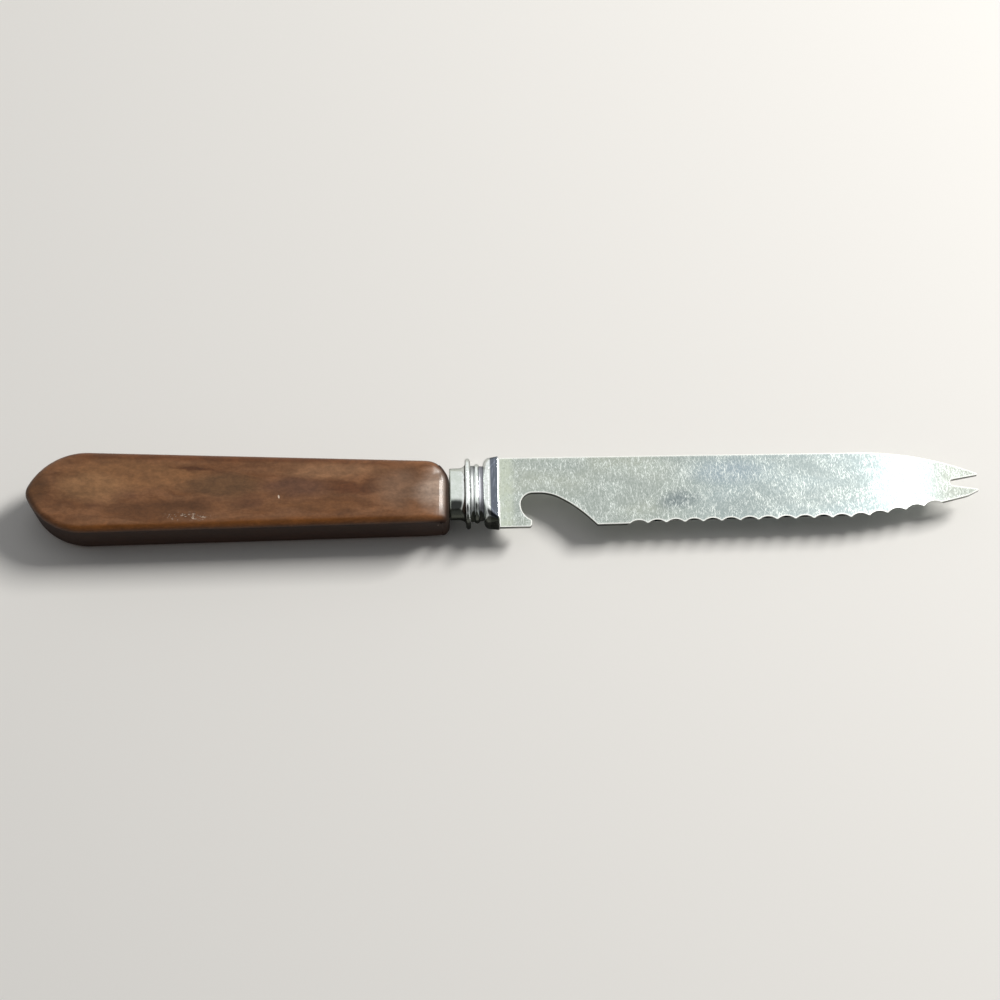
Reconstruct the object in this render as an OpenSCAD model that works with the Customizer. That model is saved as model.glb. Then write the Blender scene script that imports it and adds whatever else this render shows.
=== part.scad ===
// Cocktail knife: moulded handle, moulded metal ferrule, stamped blade with bottle opener,
// scalloped edge and forked tip. It lies flat on its handle, blade towards +X, edge towards -Y.

/* [Handle] */
// Length of the handle, butt tip to front face
handle_l = 104; // [80:1:140]
// Width of the handle at its widest, where the butt begins to narrow
handle_wide_w = 21; // [18:0.5:26]
// Width of the handle at its front end
handle_front_w = 15.9; // [14:0.1:18]
// Thickness of the handle
handle_t = 13; // [12:0.2:18]
// Radius of the handle's soft edges
handle_edge_r = 1.8; // [0.8:0.1:2.6]
// Radius that rolls the handle's front end over, top and bottom
handle_front_r = 3.1; // [2.7:0.1:3.4]
// Radius of the handle's front corner on the spine's side, seen from above
far_corner_r = 5.7; // [4:0.1:6.5]
// Length of the arched butt
butt_l = 15; // [13:0.5:26]
// Radius of the butt's tip, seen from above
butt_tip_r = 3.6; // [2.7:0.1:5]

/* [Ferrule] */
// Length of the plain neck at the handle
neck_l = 2.3; // [1:0.1:5]
// Thickness of the ferrule's core at the blade, under the mouldings
core_front_t = 4.8; // [3.6:0.1:6]
// Width of the section's oval corners, from the handle to the bell
neck_corner_w = 5.6; // [1.5:0.1:6]
// Height of those corners
neck_corner_h = 3.7; // [1.5:0.1:3.8]
// Corner radius of the section at the blade
bell_corner_r = 0.8; // [0.5:0.1:2.4]
// Rounding of the ferrule's two end edges
end_edge_r = 0.25; // [0.1:0.05:0.5]
// Radius of the hollow that flares the neck out towards the ring
hollow_r = 2.3; // [1.9:0.1:3]
// Length of that hollow
hollow_l = 1.6; // [1:0.1:1.8]
// Width of the tall ring, along the ferrule
ring_w = 1.3; // [0.8:0.1:2]
// Height of the ring above the core
ring_h = 1.9; // [1.6:0.1:2.2]
// Set-back of the ring from the handle's upper and lower faces
ring_set_back = 0.8; // [0.2:0.1:1.2]
// Width of each groove beside the bead
groove_w = 0.9; // [0.4:0.1:1.5]
// Height of the grooves' floor above the core
groove_h = 0.5; // [0.2:0.05:0.6]
// Width of the bead between the grooves
bead_w = 1.3; // [0.8:0.1:1.8]
// Height of the bead above the core
bead_h = 0.9; // [0.8:0.05:1.2]
// Length of the bell, from the groove to the blade
bell_l = 3.9; // [2.5:0.1:6]
// Height of the bell above the core
bell_h = 1.9; // [1.6:0.05:2.2]
// Radius of the bell's rounded shoulder
bell_shoulder_r = 1.4; // [0.8:0.1:1.5]
// How far the blade's heel stands out past each side of the bell
heel_overhang = 0.7; // [0:0.1:1.2]
// Offset of ferrule and blade from the handle's axis, towards the spine
blade_offset = 1.1; // [0:0.1:1.5]
// Turn of ferrule and blade from the handle's axis, tip towards the spine, in degrees
blade_turn = 1.15; // [0:0.05:1.5]

/* [Blade] */
// Length of the blade, ferrule to fork tips
blade_l = 118.8; // [114:0.2:150]
// Width of the blade at the heel
blade_heel_w = 18.3; // [17.4:0.1:20]
// Width of the blade where its point begins
blade_point_w = 17; // [15.6:0.1:18]
// Thickness of the blade and its tang
blade_t = 1.3; // [1:0.1:2]
// Length of the point, measured back from the fork tips
point_l = 30; // [24:0.2:36]
// Bow of the spine's curve down to the fork
point_spine_bow = 1.6; // [0.5:0.1:2.2]
// Bow of the edge's curve up to the fork
point_edge_bow = 0.5; // [0.3:0.1:1.2]

/* [Fork] */
// Width of the notch between the fork tips
fork_mouth_w = 3.7; // [2.8:0.1:4.6]
// Width of the notch at its root
fork_root_w = 1.55; // [1:0.05:2.4]
// Depth of the notch
fork_l = 6.9; // [5:0.1:10]
// Width of each prong's blunted tip
prong_tip_w = 0.4; // [0.2:0.05:0.8]
// Length of the slanted nose of the lower prong
prong_nose_l = 2.6; // [1.5:0.1:4]
// Rise of that nose
prong_nose_h = 1.3; // [0.8:0.1:2]

/* [Scalloped edge] */
// Number of scallops
scallop_n = 17; // [6:1:18]
// Distance from one scallop to the next
scallop_pitch = 4.56; // [3.6:0.02:4.6]
// Radius of the wheel that grinds a scallop
scallop_r = 3.7; // [2.8:0.1:5]
// Width of the land left between two scallops
scallop_land = 0.4; // [0.2:0.05:0.8]
// Distance from the ferrule to the first scallop
scallop_start = 32; // [30:0.2:33]
// Slope of the grind under the edge, from the upright, in degrees
grind_angle = 35; // [15:1:45]

/* [Bottle opener] */
// Length of the heel tab that ends in the claw
claw_l = 8; // [6:0.1:9]
// Height of the claw's upright end
claw_h = 1.8; // [1.2:0.1:2.6]
// Radius of the throat behind the claw
throat_r = 3.1; // [2.6:0.1:3.4]
// Height of the throat's crown above the edge
throat_h = 8.9; // [7.8:0.1:10]
// Length of the level crown between the throat and the fulcrum
crown_l = 1.4; // [0.4:0.1:2.4]
// Radius of the curve that starts the fulcrum
fulcrum_r = 11; // [9:0.5:13]
// Turn of that curve, in degrees
fulcrum_turn = 29; // [24:1:34]
// Radius of the long curve that ends the fulcrum
ramp_r = 32; // [26:1:34]
// Slope at which the ramp meets the edge, in degrees
ramp_slope = 45; // [40:1:46]

/* [Tang] */
// Width of the tang
tang_w = 5; // [3.6:0.1:6]
// Length of the tang behind the ferrule
tang_l = 52; // [30:1:62]
// Thickness of cement at the tang's corners
cement_wall = 0.65; // [0.3:0.05:1.2]
// Depth of cement past the tang's end
cement_end = 3; // [1:0.5:8]
// Distance of the cement's front below the handle's front face
cement_recess = 0.5; // [0.3:0.1:2]
// Clearance round the tang in the ferrule's slot
slot_gap = 0.1; // [0.05:0.05:0.2]
// Clearance on both sides of the cement
bond_gap = 0.05; // [0.02:0.01:0.1]

/* [Hidden] */
$fn = 64;
// Steps in each round stretch of an outline
arc_steps = 14;
// Steps in each corner of the ferrule's section
corner_steps = 9;
// Sides of the round posts that the handle's skin is stretched over
post_fn = 32;
// Steps in which the rounded rim follows the rolled front end
roll_steps = 6;
// How far a cutting shape runs past what it cuts
over = 1;

phenolic_colour = [0.47, 0.27, 0.17];
chrome_colour = [0.80, 0.82, 0.84];
steel_colour = [0.72, 0.74, 0.74];
cement_colour = [0.35, 0.32, 0.28];

// Points of an arc from one angle to another
function arc(centre, r, from, to, steps = arc_steps) =
    [for (i = [0:steps])
        let (a = from + (to - from) * i / steps)
        centre + r * [cos(a), sin(a)]];

// An arc from a to b that bows out to the right of the way
function bow_r(a, b, bow) = (norm(b - a) ^ 2 / 4 + bow ^ 2) / (2 * bow);
function bow_centre(a, b, bow) =
    (a + b) / 2 + (bow_r(a, b, bow) - bow) * [a.y - b.y, b.x - a.x] / norm(b - a);
function angle_from(centre, p) = atan2(p.y - centre.y, p.x - centre.x);
function bowed(a, b, bow) =
    let (c = bow_centre(a, b, bow))
    arc(c, bow_r(a, b, bow), angle_from(c, a), angle_from(c, b));

function mirrored(points) = [for (i = [len(points) - 1:-1:0]) [points[i].x, -points[i].y]];
function highest(points, axis) = max([for (p = points) p[axis]]);

// Handle, with its front face at x = 0 and its butt towards -X.
// One arch of the butt leaves the side and meets the tip's circle, both without a corner.
side_angle = 90 - atan((handle_wide_w - handle_front_w) / 2 / (handle_l - butt_l));
side_normal = [cos(side_angle), sin(side_angle)];
wide_point = [butt_l - handle_l, handle_wide_w / 2];
tip_centre = [butt_tip_r - handle_l, 0];
tip_to_wide = wide_point - tip_centre;
arch_r = (tip_to_wide * tip_to_wide - butt_tip_r ^ 2) / 2 / (tip_to_wide * side_normal - butt_tip_r);
arch_centre = wide_point - arch_r * side_normal;
tip_angle = angle_from(arch_centre, tip_centre);
half_posts = concat(
    arc(arch_centre, arch_r - handle_edge_r, side_angle, tip_angle),
    arc(tip_centre, butt_tip_r - handle_edge_r, tip_angle, 180));
// The front end is square at the near side, and has a round corner at the far side
far_corner = [-far_corner_r, handle_front_w / 2 - far_corner_r * (1 - side_normal.x) / side_normal.y];
far_post = far_corner + (far_corner_r - handle_edge_r) * side_normal;
posts = concat([far_post], half_posts, mirrored(half_posts));

// Ferrule, with its rear face at u = 0 on the blade's axis.
// Its bell is a little narrower than the blade, and its ring a little thinner than the handle.
core_w = blade_heel_w - 2 * (heel_overhang + bell_h);
core_rear_t = handle_t - 2 * (ring_h + ring_set_back);
rear_corner_w = min(neck_corner_w, core_w / 2 - slot_gap);
rear_corner_h = min(neck_corner_h, core_rear_t / 2 - end_edge_r - slot_gap);
hollow_h = hollow_r - sqrt(hollow_r ^ 2 - hollow_l ^ 2);
hollow_end = neck_l + hollow_l;
ring_end = hollow_end + ring_w;
bead_start = ring_end + groove_w;
bead_end = bead_start + bead_w;
bell_start = bead_end + groove_w;
ferrule_l = bell_start + bell_l;
// Turned, the ferrule touches the handle's front face where the far corner begins to turn away
seat_v = far_corner.y - blade_offset + far_corner_r * sin(blade_turn) / 2;
seat_gap = seat_v * sin(blade_turn);

// Mouldings as places along the ferrule and heights above its core
bead_line = [[bead_end, groove_h], [bead_start, groove_h]];
bead_bow = bead_h - groove_h;
bead_points = bowed(bead_line[0], bead_line[1], bead_bow);
moulding = concat(
    arc([end_edge_r, -end_edge_r], end_edge_r, 180, 90, corner_steps),
    arc([neck_l, hollow_r], hollow_r, 270, 270 + asin(hollow_l / hollow_r)),
    arc([hollow_end + ring_w / 2, ring_h - ring_w / 2], ring_w / 2, 180, 0),
    [[ring_end, groove_h]],
    [for (i = [len(bead_points) - 1:-1:0]) bead_points[i]],
    [[bell_start, groove_h]],
    arc([bell_start + bell_shoulder_r, bell_h - bell_shoulder_r], bell_shoulder_r, 180, 90),
    arc([ferrule_l - end_edge_r, bell_h - end_edge_r], end_edge_r, 90, 0, corner_steps));

// The core thins from the ring to the blade, and its corners sharpen along the bell
function core_t(u) =
    core_rear_t + (core_front_t - core_rear_t) * max(0, u - hollow_end) / (ferrule_l - hollow_end);
function corner(u, rear) = rear + (bell_corner_r - rear) * max(0, u - bell_start) / bell_l;
function section(station) =
    let (u = station[0], height = station[1],
        w = corner(u, rear_corner_w) + min(0, height),
        h = corner(u, rear_corner_h) + min(0, height))
    [for (q = [0:3], i = [0:corner_steps])
        let (a = 90 * q + 90 * i / corner_steps,
            y = (q == 0 || q == 3 ? 1 : -1) * (core_w / 2 + height - w) + w * cos(a),
            z = (q < 2 ? 1 : -1) * (core_t(u) / 2 + height - h) + h * sin(a))
        [u, y, z]];

// Blade, in places u along its axis from the ferrule's rear face and v towards its spine
tip_u = ferrule_l + blade_l;
heel_v = blade_heel_w / 2;
spine_point = [tip_u - point_l, blade_point_w / 2];
edge_point = [spine_point.x, -spine_point.y];
prong_v = fork_mouth_w / 2 + prong_tip_w;
nose_point = [tip_u - prong_nose_l, -prong_v - prong_nose_h];
spine_curve = bowed([tip_u, prong_v], spine_point, point_spine_bow);
edge_curve = bowed(edge_point, nose_point, point_edge_bow);
blade_outline = concat(
    [[ferrule_l, -heel_v]],
    edge_curve,
    [[tip_u, -prong_v], [tip_u, prong_v]],
    spine_curve,
    [[ferrule_l, heel_v]]);

// Height of the edge at a place along the blade
edge_slope = (edge_point.y + heel_v) / (edge_point.x - ferrule_l);
edge_bow_centre = bow_centre(edge_point, nose_point, point_edge_bow);
edge_bow_r = bow_r(edge_point, nose_point, point_edge_bow);
function edge_v(u) = u < edge_point.x
    ? -heel_v + edge_slope * (u - ferrule_l)
    : edge_bow_centre.y - sqrt(edge_bow_r ^ 2 - (u - edge_bow_centre.x) ^ 2);

// Fork notch: straight sides that leave a round root
root_u = tip_u - fork_l + fork_root_w / 2;
fork_flare = (fork_mouth_w - fork_root_w) / 2 / (tip_u - root_u);
fork_open_v = fork_mouth_w / 2 + over * fork_flare;

// Bottle opener: the claw's lower side leaves the throat's circle at this angle
throat_leave = 225;
claw_point = [ferrule_l + claw_l, claw_h - heel_v];
throat_v = throat_h - heel_v - throat_r;
throat_u = claw_point.x - (throat_v - claw_point.y) + throat_r * sqrt(2);
fulcrum_centre = [throat_u + crown_l, throat_v + throat_r - fulcrum_r];
fulcrum_end = 90 - fulcrum_turn;
ramp_end = 90 - ramp_slope;
ramp_centre = fulcrum_centre - (ramp_r - fulcrum_r) * [cos(fulcrum_end), sin(fulcrum_end)];
ramp_foot = ramp_centre + ramp_r * [cos(ramp_end), sin(ramp_end)];
below_v = -heel_v - over;
opener_outline = concat(
    [[claw_point.x, below_v], claw_point],
    arc([throat_u, throat_v], throat_r, throat_leave, 90),
    arc(fulcrum_centre, fulcrum_r, 90, fulcrum_end),
    arc(ramp_centre, ramp_r, fulcrum_end, ramp_end),
    [[ramp_foot.x + (ramp_foot.y - below_v) / tan(ramp_slope), below_v]]);

// Bore for the tang, drilled along the blade's axis
bore_r = norm([tang_w, blade_t]) / 2 + cement_wall;
bore_l = tang_l + cement_end;

// The origin is under the middle of the whole knife, so everything moves there from the handle's frame
placed_outline = [for (p = blade_outline)
    [seat_gap + p.x * cos(blade_turn) - p.y * sin(blade_turn),
     blade_offset + p.x * sin(blade_turn) + p.y * cos(blade_turn)]];
knife_middle = [
    (highest(placed_outline, 0) - handle_l) / 2,
    (max(highest(placed_outline, 1), handle_wide_w / 2) - handle_wide_w / 2) / 2];

module in_place() {
    translate([-knife_middle.x, -knife_middle.y, handle_t / 2])
        children();
}

module on_blade_axis() {
    translate([seat_gap, blade_offset, 0])
        rotate(blade_turn)
            children();
}

// A bar along the blade's axis, centred across it
module bar(from, to, width, thickness) {
    translate([from, -width / 2, -thickness / 2])
        cube([to - from, width, thickness]);
}

// A round rod along the blade's axis
module rod(from, to, r) {
    translate([from, 0, 0])
        rotate([0, 90, 0])
            cylinder(r = r, h = to - from);
}

// Upright post as tall as the handle, with its own radius and that of its two rims
module post(r, rim_r) {
    rotate_extrude($fn = post_fn)
        intersection() {
            hull()
                for (x = [-1, 1], y = [-1, 1])
                    translate([x * (r - rim_r), y * (handle_t / 2 - rim_r)])
                        circle(rim_r, $fn = post_fn);
            translate([0, -handle_t / 2])
                square([r, handle_t]);
        }
}

// Rolled front end, from the far corner's post to the near side.
// As its rollers get longer they get thinner, by the handle's edge radius.
module front_roll() {
    translate(far_corner)
        post(far_corner_r, handle_front_r);
    for (side = [-1, 1], i = [0:roll_steps]) {
        turn = 90 * i / roll_steps;
        roller_r = handle_front_r - handle_edge_r * (1 - cos(turn));
        near_y = handle_front_w / 2 - handle_edge_r * (1 - sin(turn));
        translate([-handle_front_r, far_corner.y, side * (handle_t / 2 - handle_front_r)])
            rotate([90, 0, 0])
                cylinder(r = roller_r, h = far_corner.y + near_y);
    }
}

module handle() {
    color(phenolic_colour)
        in_place()
            difference() {
                hull() {
                    for (p = posts)
                        translate(p)
                            post(handle_edge_r, handle_edge_r);
                    front_roll();
                }
                on_blade_axis()
                    rod(-bore_l, over, bore_r);
            }
}

// Skin through all the ferrule's sections, from the handle to the blade
module moulded_block() {
    sections = [for (station = moulding) section(station)];
    n = len(sections[0]);
    last = n * (len(sections) - 1);
    sides = [for (k = [0:n:last - n], i = [0:n - 1])
        let (j = (i + 1) % n)
        each [[k + i, k + n + j, k + j], [k + i, k + n + i, k + n + j]]];
    rear = [[for (i = [0:n - 1]) i]];
    front = [[for (i = [n - 1:-1:0]) last + i]];
    polyhedron([for (ring = sections) each ring], concat(sides, rear, front));
}

module ferrule() {
    color(chrome_colour)
        in_place()
            on_blade_axis()
                difference() {
                    moulded_block();
                    bar(-over, ferrule_l + over, tang_w + 2 * slot_gap, blade_t + 2 * slot_gap);
                }
}

module fork_notch() {
    translate([root_u, 0])
        circle(fork_root_w / 2);
    polygon([
        [root_u, -fork_root_w / 2],
        [tip_u + over, -fork_open_v],
        [tip_u + over, fork_open_v],
        [root_u, fork_root_w / 2]]);
}

// One scallop, ground from below on a wheel that leans back from the edge
module scallop(from, to) {
    half_chord = (norm(to - from) - scallop_land) / 2;
    reach = sqrt(scallop_r ^ 2 - half_chord ^ 2) / cos(grind_angle);
    translate(concat((from + to) / 2, blade_t / 2))
        rotate(angle_from(from, to))
            translate([0, -reach, 0])
                rotate([grind_angle, 0, 0])
                    cylinder(r = scallop_r, h = 4 * (blade_t + over), center = true);
}

module blade() {
    color(steel_colour)
        in_place()
            on_blade_axis() {
                difference() {
                    translate([0, 0, -blade_t / 2])
                        linear_extrude(blade_t)
                            difference() {
                                polygon(blade_outline);
                                polygon(opener_outline);
                                fork_notch();
                            }
                    for (i = [0:scallop_n - 1]) {
                        from_u = ferrule_l + scallop_start + i * scallop_pitch;
                        to_u = from_u + scallop_pitch;
                        scallop([from_u, edge_v(from_u)], [to_u, edge_v(to_u)]);
                    }
                }
                bar(-tang_l, ferrule_l, tang_w, blade_t);
            }
}

module tang_cement() {
    color(cement_colour)
        in_place()
            on_blade_axis()
                difference() {
                    rod(bond_gap - bore_l, -cement_recess, bore_r - bond_gap);
                    bar(-tang_l - bond_gap, over, tang_w + 2 * bond_gap, blade_t + 2 * bond_gap);
                }
}

handle();
ferrule();
blade();
tang_cement();
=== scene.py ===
# %% [markdown]
# A cocktail knife, dressed over its solids
# The knife has four real pieces: a marbled resin handle, a chromed ferrule, a steel blade with its
# tang, and the cement that holds the tang in the handle. The solids already have the right sizes.
# This lesson remakes the three pieces that show with finer edges, then gives every piece a finish.

# %% Load the solids
from math import asin, atan, atan2, cos, pi, radians, sin, sqrt, tan

import bmesh
import bpy
from mathutils import Matrix, Vector


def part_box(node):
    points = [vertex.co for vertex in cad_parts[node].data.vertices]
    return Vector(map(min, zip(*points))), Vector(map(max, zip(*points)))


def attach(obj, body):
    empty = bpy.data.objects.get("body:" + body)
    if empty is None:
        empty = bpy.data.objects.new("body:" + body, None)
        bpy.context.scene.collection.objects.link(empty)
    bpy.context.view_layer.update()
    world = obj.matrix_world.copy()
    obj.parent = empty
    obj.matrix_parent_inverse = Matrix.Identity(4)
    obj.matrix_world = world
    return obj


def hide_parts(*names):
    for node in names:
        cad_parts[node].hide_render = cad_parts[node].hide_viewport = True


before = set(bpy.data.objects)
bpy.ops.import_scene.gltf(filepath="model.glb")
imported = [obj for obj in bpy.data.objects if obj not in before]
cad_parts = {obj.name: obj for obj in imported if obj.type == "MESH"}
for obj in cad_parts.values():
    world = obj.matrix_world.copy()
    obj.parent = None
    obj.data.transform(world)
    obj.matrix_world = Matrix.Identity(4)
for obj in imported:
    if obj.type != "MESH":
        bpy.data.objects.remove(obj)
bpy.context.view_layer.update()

print("solids:", sorted(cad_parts))

# %% [markdown]
# Sizes
# Every size is in millimetres, as a cutler would write it, and is turned into metres at the end.
# The solids give the handle's front end, its middle line, its length and its thickness. The ferrule
# and the blade share one axis of their own, a little off the handle's and turned by about a degree,
# as the photographed knife was put together. A matrix turns places along that axis into the frame.

# %% Where the handle ends and where the blade's axis runs
MM = 0.001
handle_low, handle_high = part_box("handle")
JOINT_X = handle_high.x / MM
HANDLE_Y = (handle_low.y + handle_high.y) / 2 / MM
MID_Z = (handle_low.z + handle_high.z) / 2 / MM
HANDLE_L = (handle_high.x - handle_low.x) / MM
HANDLE_T = (handle_high.z - handle_low.z) / MM

BLADE_OFFSET = 1.1
BLADE_TURN = radians(1.15)
# the turned ferrule touches the handle where its far corner begins to curve away, so it starts
# this far out
SEAT_GAP = 0.024

handle_place = Matrix.Translation((JOINT_X, HANDLE_Y, MID_Z))
blade_place = (
    handle_place
    @ Matrix.Translation((SEAT_GAP, BLADE_OFFSET, 0))
    @ Matrix.Rotation(BLADE_TURN, 4, "Z")
)
print(f"handle {HANDLE_L:.1f} x {HANDLE_T:.1f} mm, its front end at x = {JOINT_X:.2f} mm")

# %% [markdown]
# A pen for outlines
# The handle and the blade are both flat pieces with a traced outline: straight runs and arcs that
# meet in known points. They could be drawn as curves, but a chain of mesh edges can be filled,
# extruded and bevelled at once. The pen pulls one vertex along: extrude for a straight run, spin
# for an arc. An arc can be given by its centre, or by its far end and how much it bows.

# %% The pen
# in millimetres: two points this near are one, and a point this near to a plane is on it
SAME_POINT, ON_PLANE = 1e-4, 1e-5


def bow_centre(a, b, bow):
    """Centre of the arc from a to b that bows out to the right of the way."""
    a, b = Vector(a), Vector(b)
    along = b - a
    radius = (along.length_squared / 4 + bow * bow) / (2 * bow)
    left = Vector((-along.y, along.x)).normalized()
    return (a + b) / 2 + (radius - bow) * left


class Pen:
    """Draws a chain of edges at one height."""

    def __init__(self, start, z=0.0, mesh=None):
        self.mesh = mesh or bmesh.new()
        self.z = z
        self.first = self.last = self.mesh.verts.new((*start, z))
        self.edges = []

    def line_to(self, point):
        made = bmesh.ops.extrude_vert_indiv(self.mesh, verts=[self.last])
        self.last = made["verts"][0]
        self.last.co = (*point, self.z)
        self.edges += made["edges"]

    def arc_about(self, centre, angle, steps):
        """Swings about a centre, to the left where the angle is positive."""
        before = set(self.mesh.edges)
        made = bmesh.ops.spin(
            self.mesh, geom=[self.last], cent=(*centre, self.z), axis=(0, 0, 1),
            angle=angle, steps=steps,
        )
        self.last = next(v for v in made["geom_last"] if isinstance(v, bmesh.types.BMVert))
        self.edges += [e for e in self.mesh.edges if e not in before]

    def arc_to(self, point, bow, steps):
        centre = bow_centre(self.last.co.xy, point, bow)
        start, end = self.last.co.xy - centre, Vector(point) - centre
        turn = atan2(start.x * end.y - start.y * end.x, start.dot(end))
        self.arc_about(centre, turn, steps)

    def close(self):
        """Joins the end to the start, which takes the end's place where the two meet."""
        if (self.last.co - self.first.co).length > SAME_POINT:
            self.edges.append(self.mesh.edges.new((self.last, self.first)))
            return
        doubled = self.last.link_edges[0]
        neighbour = doubled.other_vert(self.last)
        self.edges.remove(doubled)
        self.mesh.verts.remove(self.last)
        self.edges.append(self.mesh.edges.new((neighbour, self.first)))


# %% [markdown]
# Moves that the pieces share
# A flat piece is a filled outline, a hole is a loop of edges pulled through, and every sharp corner
# of metal or resin is rounded over at least a little. Each of these is one mesh operator with its
# settings, kept here in one place. The last two helpers end a piece: one turns its mesh from
# millimetres into an object at its place, and one makes its flats shade flat.

# %% Helpers for meshes
# the weight at which large faces count most for the shading
LARGE_FACES_FIRST = 100


def parts(geom, kind):
    """The vertices, edges or faces in what an operator gives back."""
    return [item for item in geom if isinstance(item, kind)]


def fill(mesh, edges):
    """One flat face inside a closed chain of edges, turned to face up."""
    face = bmesh.ops.contextual_create(mesh, geom=edges)["faces"][0]
    face.normal_update()
    if face.normal.z < 0:
        face.normal_flip()
    return face


def join_loops(mesh, edges):
    """Fills the flat ring between an outer loop and a hole in it."""
    bmesh.ops.triangle_fill(mesh, edges=edges, use_beauty=True, use_dissolve=False)


def pull(mesh, edges, reach):
    """Pulls a loop along with a wall behind it, and gives back the loop's new edges."""
    pulled = bmesh.ops.extrude_edge_only(mesh, edges=edges)["geom"]
    bmesh.ops.translate(mesh, vec=reach, verts=parts(pulled, bmesh.types.BMVert))
    return parts(pulled, bmesh.types.BMEdge)


def round_edges(mesh, edges, radius, steps):
    """Rounds edges over to a radius."""
    bmesh.ops.bevel(
        mesh, geom=edges, offset=radius, affect="EDGES", segments=steps, profile=0.5, material=-1
    )


def finish_piece(name, mesh, place):
    """Turns a bmesh in millimetres into a smooth-shaded piece at its place in the frame."""
    bmesh.ops.remove_doubles(mesh, verts=mesh.verts, dist=SAME_POINT)
    bmesh.ops.recalc_face_normals(mesh, faces=mesh.faces)
    bmesh.ops.transform(mesh, matrix=Matrix.Scale(MM, 4) @ place, verts=mesh.verts)
    for face in mesh.faces:
        face.smooth = True
    data = bpy.data.meshes.new(name)
    mesh.to_mesh(data)
    mesh.free()
    piece = bpy.data.objects.new(name, data)
    bpy.context.scene.collection.objects.link(piece)
    print(f"{name}: {len(data.vertices)} vertices, {len(data.polygons)} faces")
    return piece


def keep_flats_flat(piece):
    """Weighted normals let the large faces rule, so bevels shade round and flats stay flat."""
    weights = piece.modifiers.new("flats", "WEIGHTED_NORMAL")
    weights.keep_sharp = True
    weights.weight = LARGE_FACES_FIRST


# %% [markdown]
# The handle
# The real handle is a slab of marbled resin, sawn to a slim coffin outline, with a pointed arch at
# the butt, and then rounded on a buffing wheel. The outline is traced and filled at mid-thickness,
# the face is extruded up to the top, and a bevel rounds the rim. Towards the front end the top also
# falls away in a long soft curve, which is why the highlight there fades slowly on one side and ends
# sharply on the other. That stretch is cut into strips and pressed down. The lower half is the
# mirror image of the upper one, so the two can't differ.

# %% Trace the handle's outline
# width where it is widest and at the front, length of the arched butt, radius of its very tip
WIDE_W, FRONT_W, BUTT_L, TIP_R = 21.0, 15.9, 15.0, 3.6
ARCH_STEPS, TIP_STEPS = 28, 16
TAPER = (WIDE_W - FRONT_W) / 2 / (HANDLE_L - BUTT_L)

side_angle = pi / 2 - atan(TAPER)
side_normal = Vector((cos(side_angle), sin(side_angle)))
wide_point = Vector((BUTT_L - HANDLE_L, WIDE_W / 2))
tip_centre = Vector((TIP_R - HANDLE_L, 0))
to_wide = wide_point - tip_centre
arch_r = (to_wide.length_squared - TIP_R**2) / 2 / (to_wide.dot(side_normal) - TIP_R)
arch_centre = wide_point - arch_r * side_normal
to_tip = tip_centre - arch_centre
tip_angle = atan2(to_tip.y, to_tip.x)

pen = Pen((0, FRONT_W / 2))
pen.line_to(wide_point)
pen.arc_about(arch_centre, tip_angle - side_angle, ARCH_STEPS)
pen.arc_about(tip_centre, 2 * (pi - tip_angle), TIP_STEPS)
pen.arc_about((arch_centre.x, -arch_centre.y), tip_angle - side_angle, ARCH_STEPS)
pen.line_to((0, -FRONT_W / 2))
pen.close()
handle_mesh = pen.mesh
print(f"arch radius {arch_r:.1f} mm, {len(handle_mesh.edges)} edges in the outline")

# %% Extrude the upper half, then round its front edge and its rim
# rounding of the rim and of the front edge, and the strips in it
EDGE_R, FRONT_R, ROUND_STEPS = 1.8, 0.9, 8
# how little a wall's normal may rise, and how squarely a face has to look to the front
UPRIGHT, SQUARE_ON = 1e-3, 0.999

base = fill(handle_mesh, handle_mesh.edges[:])
raised = bmesh.ops.extrude_face_region(handle_mesh, geom=[base])["geom"]
bmesh.ops.translate(handle_mesh, vec=(0, 0, HANDLE_T / 2), verts=parts(raised, bmesh.types.BMVert))
# the extrude leaves the face that it started from, but the half has to stay open below
bmesh.ops.delete(handle_mesh, geom=[base], context="FACES_ONLY")
front_edge = [
    e for e in handle_mesh.edges
    if all(v.co.x > -SAME_POINT and v.co.z > SAME_POINT for v in e.verts)
]
round_edges(handle_mesh, front_edge, FRONT_R, ROUND_STEPS)
handle_mesh.normal_update()
sides = {f for f in handle_mesh.faces if abs(f.normal.z) < UPRIGHT and f.normal.x < SQUARE_ON}
rim = [
    e for e in handle_mesh.edges
    if len(e.link_faces) == 2 and len(sides.intersection(e.link_faces)) == 1
]
round_edges(handle_mesh, rim, EDGE_R, ROUND_STEPS)
print(f"rounded {len(front_edge)} edge at the front and {len(rim)} round the rim")

# %% Press the top down towards the front
# the top falls away along a quarter of an oval: its length, its height, and the cuts across it
FALL_L, FALL_H, FALL_CUTS = 7.2, 2.6, 14
# a face that starts this near to the zone's own start is in it
NEAR = 1e-3


def cut_across(mesh, place, normal, zone_from):
    """One flat cut through all that lies in front of a place along the handle."""
    zone = [f for f in mesh.faces if min(v.co.x for v in f.verts) > zone_from - NEAR]
    edges = {e for f in zone for e in f.edges}
    verts = {v for f in zone for v in f.verts}
    bmesh.ops.bisect_plane(
        mesh, geom=zone + list(edges) + list(verts), dist=ON_PLANE, plane_co=place, plane_no=normal
    )


for i in range(FALL_CUTS):
    x = -FALL_L * cos(pi / 2 * i / FALL_CUTS)
    cut_across(handle_mesh, (x, 0, 0), (1, 0, 0), -HANDLE_L)
for v in handle_mesh.verts:
    reach = min(1 + v.co.x / FALL_L, 1.0)
    if reach > 0:
        fall = FALL_H * (1 - sqrt(1 - reach**2))
        v.co.z *= 1 - fall / (HANDLE_T / 2)
print(f"front end {2 * (HANDLE_T / 2 - FALL_H):.1f} mm thick before its rim")

# %% Mirror the half and drill the bore for the tang
BORE_R, BORE_L, BORE_STEPS = 3.23, 55.0, 48
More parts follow.
